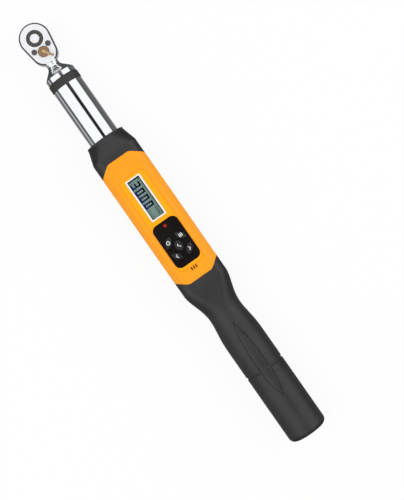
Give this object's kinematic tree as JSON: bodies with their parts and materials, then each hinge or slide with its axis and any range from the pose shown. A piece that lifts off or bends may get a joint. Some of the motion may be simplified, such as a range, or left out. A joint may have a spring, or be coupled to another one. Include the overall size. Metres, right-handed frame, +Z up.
{
  "type": "digital torque wrench",
  "caption": "Slim digital torque wrench with a reversible square-drive ratchet head, coloured face with display and keys, and a round battery handle.",
  "frame": {"origin": "on the square-drive axis at mid thickness of the ratchet head", "axes": "+X along the tool from the head to the handle end, +Y across it, +Z up through the display face"},
  "size_m": [0.39, 0.0396, 0.0375],
  "materials": {
    "chrome": "polished",
    "plate_steel": "satin",
    "gear_steel": "dark oil finish",
    "spring_steel": "bright",
    "screw_steel": "black oxide",
    "lever_brass": "worn",
    "black_rubber": "matte",
    "housing_black": "fine texture",
    "cover_orange": "satin",
    "frame_white": "gloss",
    "window_clear": "clear",
    "lcd_glass": "grey green",
    "lcd_ink": "flat",
    "keypad_black": "gloss",
    "key_black": "satin",
    "led_red": "clear red",
    "board_green": "solder mask",
    "chip_black": "moulded",
    "gauge_film": "film",
    "beam_steel": "ground",
    "sleeve_metal": "turned",
    "cartridge_plastic": "moulded",
    "cell_skin": "printed film",
    "contact_brass": "plated",
    "cable_skin": "matte"
  },
  "bodies": {
    "handle_body": {"battery_cartridge": "cartridge_plastic", "battery_sleeve": "sleeve_metal", "beam_pin": "spring_steel", "board_screw_1": "screw_steel", "board_screw_2": "screw_steel", "board_screw_3": "screw_steel", "board_screw_4": "screw_steel", "buzzer": "chip_black", "cell_1": "cell_skin", "cell_2": "cell_skin", "cell_3": "cell_skin", "cover_plate": "plate_steel", "cover_screw_1": "screw_steel", "cover_screw_2": "screw_steel", "detent_ball": "spring_steel", "detent_spring": "spring_steel", "face_cover": "cover_orange", "front_contact": "contact_brass", "head_pin": "spring_steel", "housing_screw_1": "screw_steel", "housing_screw_2": "screw_steel", "housing_screw_3": "screw_steel", "housing_screw_4": "screw_steel", "keypad_panel": "keypad_black", "lcd_digits": "lcd_ink", "lcd_frame": "frame_white", "lcd_module": "lcd_glass", "lcd_window": "window_clear", "lower_housing": "housing_black", "main_board": "board_green", "processor": "chip_black", "ratchet_head": "chrome", "seal_ring": "black_rubber", "sensor_beam": "beam_steel", "sensor_cable": "cable_skin", "status_led": "led_red", "strain_gauge_1": "gauge_film", "strain_gauge_2": "gauge_film", "switch_1": "chip_black", "switch_2": "chip_black", "switch_3": "chip_black", "switch_4": "chip_black", "switch_5": "chip_black", "tube": "chrome", "upper_housing": "housing_black"},
    "drive": {"drive_gear": "gear_steel", "release_spring": "spring_steel"},
    "release": {"release_button": "chrome"},
    "ball": {"retaining_ball": "spring_steel"},
    "lever": {"reversing_lever": "lever_brass"},
    "pawl": {"pawl": "gear_steel"},
    "key_menu": {"key_menu": "key_black"},
    "key_up": {"key_up": "key_black"},
    "key_power": {"key_power": "key_black"},
    "key_down": {"key_down": "key_black"},
    "key_enter": {"key_enter": "key_black"},
    "seal": {"cap_seal": "black_rubber"},
    "cap": {"tail_cap": "housing_black", "cap_spring": "spring_steel"}
  },
  "joints": [
    {"name": "drive_spin", "type": "hinge", "parent": "handle_body", "child": "drive", "pos_m": [0, 0, 0], "axis": [0, 0, 1], "continuous": true},
    {"name": "release_press", "type": "slide", "parent": "drive", "child": "release", "axis": [0, 0, -1], "range_m": [0, 0.0018], "stiffness_N_per_m": 900, "deforming": ["release_spring"]},
    {"name": "ball_retract", "type": "slide", "parent": "drive", "child": "ball", "axis": [0, -1, 0], "range_m": [0, 0.000576]},
    {"name": "lever_swing", "type": "hinge", "parent": "handle_body", "child": "lever", "pos_m": [0.0124, 0, 0], "axis": [0, 0, 1], "range_deg": [-69.2, 0]},
    {"name": "pawl_shift", "type": "hinge", "parent": "handle_body", "child": "pawl", "pos_m": [0.0124, 0, 0], "axis": [0, 0, 1], "range_deg": [-11.2, 0]},
    {"name": "key_menu_press", "type": "slide", "parent": "handle_body", "child": "key_menu", "axis": [0, 0, -1], "range_m": [0, 0.0004], "stiffness_N_per_m": 1200},
    {"name": "key_up_press", "type": "slide", "parent": "handle_body", "child": "key_up", "axis": [0, 0, -1], "range_m": [0, 0.0004], "stiffness_N_per_m": 1200},
    {"name": "key_power_press", "type": "slide", "parent": "handle_body", "child": "key_power", "axis": [0, 0, -1], "range_m": [0, 0.0004], "stiffness_N_per_m": 1200},
    {"name": "key_down_press", "type": "slide", "parent": "handle_body", "child": "key_down", "axis": [0, 0, -1], "range_m": [0, 0.0004], "stiffness_N_per_m": 1200},
    {"name": "key_enter_press", "type": "slide", "parent": "handle_body", "child": "key_enter", "axis": [0, 0, -1], "range_m": [0, 0.0004], "stiffness_N_per_m": 1200},
    {"name": "cap_pull", "type": "slide", "parent": "handle_body", "child": "seal", "axis": [1, 0, 0], "range_m": [0, 0.03]},
    {"name": "cap_twist", "type": "hinge", "parent": "seal", "child": "cap", "pos_m": [0.345, 0, 0], "axis": [1, 0, 0], "continuous": true}
  ],
  "couplings": [
    {"joint": "pawl_shift", "follows": "lever_swing", "ratio": 0.16185},
    {"joint": "ball_retract", "follows": "release_press", "ratio": 0.32}
  ]
}
